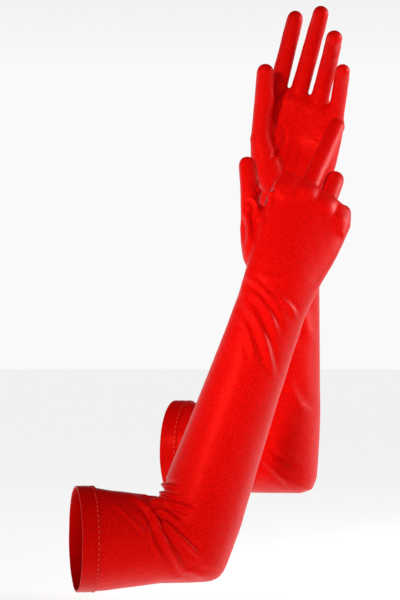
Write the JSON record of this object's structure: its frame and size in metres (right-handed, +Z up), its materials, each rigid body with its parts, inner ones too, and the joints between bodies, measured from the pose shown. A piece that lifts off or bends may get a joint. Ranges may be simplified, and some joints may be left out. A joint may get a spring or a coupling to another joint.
{
  "type": "opera gloves",
  "caption": "Pair of long stretch satin opera gloves, shaped as worn on bent arms, with turned hems and jointed elbows, wrists and fingers.",
  "frame": {"origin": "centre of the right glove's arm opening, on the plane of its hem edge", "axes": "+Z up along the raised forearms; +X across the picture, from the arm openings towards the elbows; +Y from the right glove to the left glove"},
  "size_m": [0.2513, 0.3089, 0.5221],
  "materials": {
    "red_satin": "bright red stretch satin, soft sheen",
    "hem_satin": "bright red stretch satin, folded double at the hem",
    "red_thread": "red polyester sewing thread"
  },
  "bodies": {
    "right_upper": {"right_hem": "hem_satin", "right_hem_stitching": "red_thread", "right_upper_back_panel": "red_satin", "right_upper_palm_panel": "red_satin", "right_elbow_fabric": "red_satin"},
    "right_forearm": {"right_forearm_back_panel": "red_satin", "right_forearm_palm_panel": "red_satin", "right_wrist_fabric": "red_satin"},
    "right_hand": {"right_hand_back_panel": "red_satin", "right_hand_palm_panel": "red_satin", "right_knuckle_fabric": "red_satin", "right_thumb_root_fabric": "red_satin"},
    "right_thumb": {"right_thumb_back_panel": "red_satin", "right_thumb_palm_panel": "red_satin"},
    "right_index": {"right_index_back_panel": "red_satin", "right_index_palm_panel": "red_satin"},
    "right_middle": {"right_middle_back_panel": "red_satin", "right_middle_palm_panel": "red_satin"},
    "right_ring": {"right_ring_back_panel": "red_satin", "right_ring_palm_panel": "red_satin"},
    "right_little": {"right_little_back_panel": "red_satin", "right_little_palm_panel": "red_satin"},
    "left_upper": {"left_hem": "hem_satin", "left_hem_stitching": "red_thread", "left_upper_back_panel": "red_satin", "left_upper_palm_panel": "red_satin", "left_elbow_fabric": "red_satin"},
    "left_forearm": {"left_forearm_back_panel": "red_satin", "left_forearm_palm_panel": "red_satin", "left_wrist_fabric": "red_satin"},
    "left_hand": {"left_hand_back_panel": "red_satin", "left_hand_palm_panel": "red_satin", "left_knuckle_fabric": "red_satin", "left_thumb_root_fabric": "red_satin"},
    "left_thumb": {"left_thumb_back_panel": "red_satin", "left_thumb_palm_panel": "red_satin"},
    "left_index": {"left_index_back_panel": "red_satin", "left_index_palm_panel": "red_satin"},
    "left_middle": {"left_middle_back_panel": "red_satin", "left_middle_palm_panel": "red_satin"},
    "left_ring": {"left_ring_back_panel": "red_satin", "left_ring_palm_panel": "red_satin"},
    "left_little": {"left_little_back_panel": "red_satin", "left_little_palm_panel": "red_satin"}
  },
  "joints": [
    {"name": "glove_spacing", "type": "slide", "parent": "right_upper", "child": "left_upper", "axis": [0, 1, 0], "range_m": [0, 0.12]},
    {"name": "right_elbow", "type": "hinge", "parent": "right_upper", "child": "right_forearm", "pos_m": [0.0975, 0.01719, 0], "axis": [0.1736, -0.9848, 0], "range_deg": [-66, 34], "deforming": ["right_elbow_fabric"]},
    {"name": "right_wrist", "type": "hinge", "parent": "right_forearm", "child": "right_hand", "pos_m": [0.17564, 0.03097, 0.21801], "axis": [-0.9079, -0.0424, 0.4171], "range_deg": [-70, 10], "deforming": ["right_wrist_fabric"]},
    {"name": "right_thumb_root", "type": "hinge", "parent": "right_hand", "child": "right_thumb", "pos_m": [0.15244, 0.06217, 0.27078], "axis": [0.1941, -0.9243, 0.3286], "range_deg": [-12, 25], "deforming": ["right_thumb_root_fabric"]},
    {"name": "right_index_knuckle", "type": "hinge", "parent": "right_hand", "child": "right_index", "pos_m": [0.18036, 0.06232, 0.3034], "axis": [-0.8944, -0.0291, 0.4464], "range_deg": [-66, 8], "deforming": ["right_knuckle_fabric"]},
    {"name": "right_middle_knuckle", "type": "hinge", "parent": "right_hand", "child": "right_middle", "pos_m": [0.2, 0.06468, 0.29845], "axis": [-0.8944, -0.0291, 0.4464], "range_deg": [-24, 55]},
    {"name": "right_ring_knuckle", "type": "hinge", "parent": "right_hand", "child": "right_ring", "pos_m": [0.21667, 0.06401, 0.28671], "axis": [-0.9079, -0.0424, 0.4171], "range_deg": [-32, 50]},
    {"name": "right_little_knuckle", "type": "hinge", "parent": "right_hand", "child": "right_little", "pos_m": [0.2305, 0.06176, 0.27222], "axis": [-0.9142, -0.049, 0.4022], "range_deg": [-50, 35]},
    {"name": "left_elbow", "type": "hinge", "parent": "left_upper", "child": "left_forearm", "pos_m": [0.17767, 0.19106, 0.066], "axis": [-0.2924, -0.9563, 0], "range_deg": [-83, 15], "deforming": ["left_elbow_fabric"]},
    {"name": "left_wrist", "type": "hinge", "parent": "left_forearm", "child": "left_hand", "pos_m": [0.18929, 0.18751, 0.29768], "axis": [0.9814, -0.0651, -0.1808], "range_deg": [-60, 15], "deforming": ["left_wrist_fabric"]},
    {"name": "left_thumb_root", "type": "hinge", "parent": "left_hand", "child": "left_thumb", "pos_m": [0.16325, 0.17379, 0.35514], "axis": [-0.0642, -0.9979, 0.0112], "range_deg": [-3, 30], "deforming": ["left_thumb_root_fabric"]},
    {"name": "left_index_knuckle", "type": "hinge", "parent": "left_hand", "child": "left_index", "pos_m": [0.17542, 0.1894, 0.38768], "axis": [0.9663, -0.0649, -0.249], "range_deg": [-15, 20], "deforming": ["left_knuckle_fabric"]},
    {"name": "left_middle_knuckle", "type": "hinge", "parent": "left_hand", "child": "left_middle", "pos_m": [0.19577, 0.1881, 0.388], "axis": [0.9571, -0.0647, -0.2826], "range_deg": [-20, 60]},
    {"name": "left_ring_knuckle", "type": "hinge", "parent": "left_hand", "child": "left_ring", "pos_m": [0.21468, 0.1868, 0.38045], "axis": [0.9618, -0.0648, -0.2658], "range_deg": [-25, 50]},
    {"name": "left_little_knuckle", "type": "hinge", "parent": "left_hand", "child": "left_little", "pos_m": [0.23138, 0.1856, 0.36924], "axis": [0.9814, -0.0651, -0.1808], "range_deg": [-12, 35]}
  ]
}
